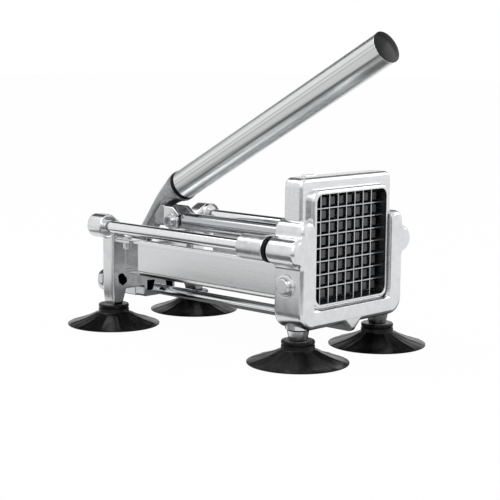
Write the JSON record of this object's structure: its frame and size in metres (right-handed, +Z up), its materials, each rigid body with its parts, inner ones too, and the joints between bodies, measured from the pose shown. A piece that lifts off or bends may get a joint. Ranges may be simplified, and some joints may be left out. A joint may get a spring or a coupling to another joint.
{
  "type": "french fry cutter",
  "caption": "Cast bench potato cutter: a lever and link drive a black pin block along rods through a square blade grid, on suction-cup feet.",
  "frame": {"origin": "on the table, below the middle of the whole cutter with its lever down", "axes": "+Z up, the blade grid faces -Y, +X runs across towards the side the link nut is on"},
  "size_m": [0.1646, 0.2974, 0.235],
  "materials": {
    "cast_aluminium": "satin, tumbled casting",
    "cassette_aluminium": "satin casting",
    "blade_steel": "thin stainless strip",
    "black_nylon": "moulded, slight sheen",
    "rod_steel": "polished rod",
    "black_rubber": "moulded, slight gloss",
    "tray_steel": "satin sheet",
    "grey_casting": "grey, barrel-finished casting",
    "link_steel": "ground bar",
    "handle_aluminium": "polished, finely fluted tube",
    "black_plastic": "moulded, satin",
    "fastener_steel": "plated fasteners"
  },
  "bodies": {
    "base": {"front_frame": "cast_aluminium", "cassette_frame": "cassette_aluminium", "blade_v1": "blade_steel", "blade_v2": "blade_steel", "blade_v3": "blade_steel", "blade_v4": "blade_steel", "blade_v5": "blade_steel", "blade_v6": "blade_steel", "blade_v7": "blade_steel", "blade_h1": "blade_steel", "blade_h2": "blade_steel", "blade_h3": "blade_steel", "blade_h4": "blade_steel", "blade_h5": "blade_steel", "blade_h6": "blade_steel", "blade_h7": "blade_steel", "guide_rod_near": "rod_steel", "guide_rod_far": "rod_steel", "bumper_near": "black_rubber", "bumper_far": "black_rubber", "tie_rod": "rod_steel", "rear_frame": "cast_aluminium", "leg_bolts": "fastener_steel", "tray": "tray_steel", "tray_screws": "fastener_steel", "tray_nuts": "fastener_steel", "side_bolts": "fastener_steel", "pivot_pin": "fastener_steel", "pivot_nut": "fastener_steel", "cup_front_near": "black_rubber", "cup_front_far": "black_rubber", "cup_rear_near": "black_rubber", "cup_rear_far": "black_rubber", "foot_screws": "fastener_steel"},
    "lever": {"lever_arm": "grey_casting", "handle_collar": "black_plastic", "handle_tube": "handle_aluminium", "handle_cap": "black_plastic", "link_pin": "fastener_steel", "link_washers": "fastener_steel", "link_nut": "fastener_steel"},
    "link": {"link_bar": "link_steel"},
    "carriage": {"carriage": "cast_aluminium", "pusher_block": "black_nylon", "pusher_screws": "fastener_steel", "carriage_pins": "fastener_steel"}
  },
  "joints": [
    {"name": "lever_swing", "type": "hinge", "parent": "base", "child": "lever", "pos_m": [0, 0.1377, 0.0264], "axis": [-1, 0, 0], "range_deg": [0, 102.09]},
    {"name": "link_pivot", "type": "hinge", "parent": "lever", "child": "link", "pos_m": [0, 0.0672, 0.0834], "axis": [-1, 0, 0], "range_deg": [-102.11, 0]},
    {"name": "carriage_slide", "type": "slide", "parent": "base", "child": "carriage", "axis": [0, 1, 0], "range_m": [0, 0.1411]}
  ],
  "couplings": [
    {"joint": "link_pivot", "follows": "lever_swing", "ratio": -1},
    {"joint": "carriage_slide", "follows": "lever_swing", "m_per_rad": 0.079135}
  ]
}
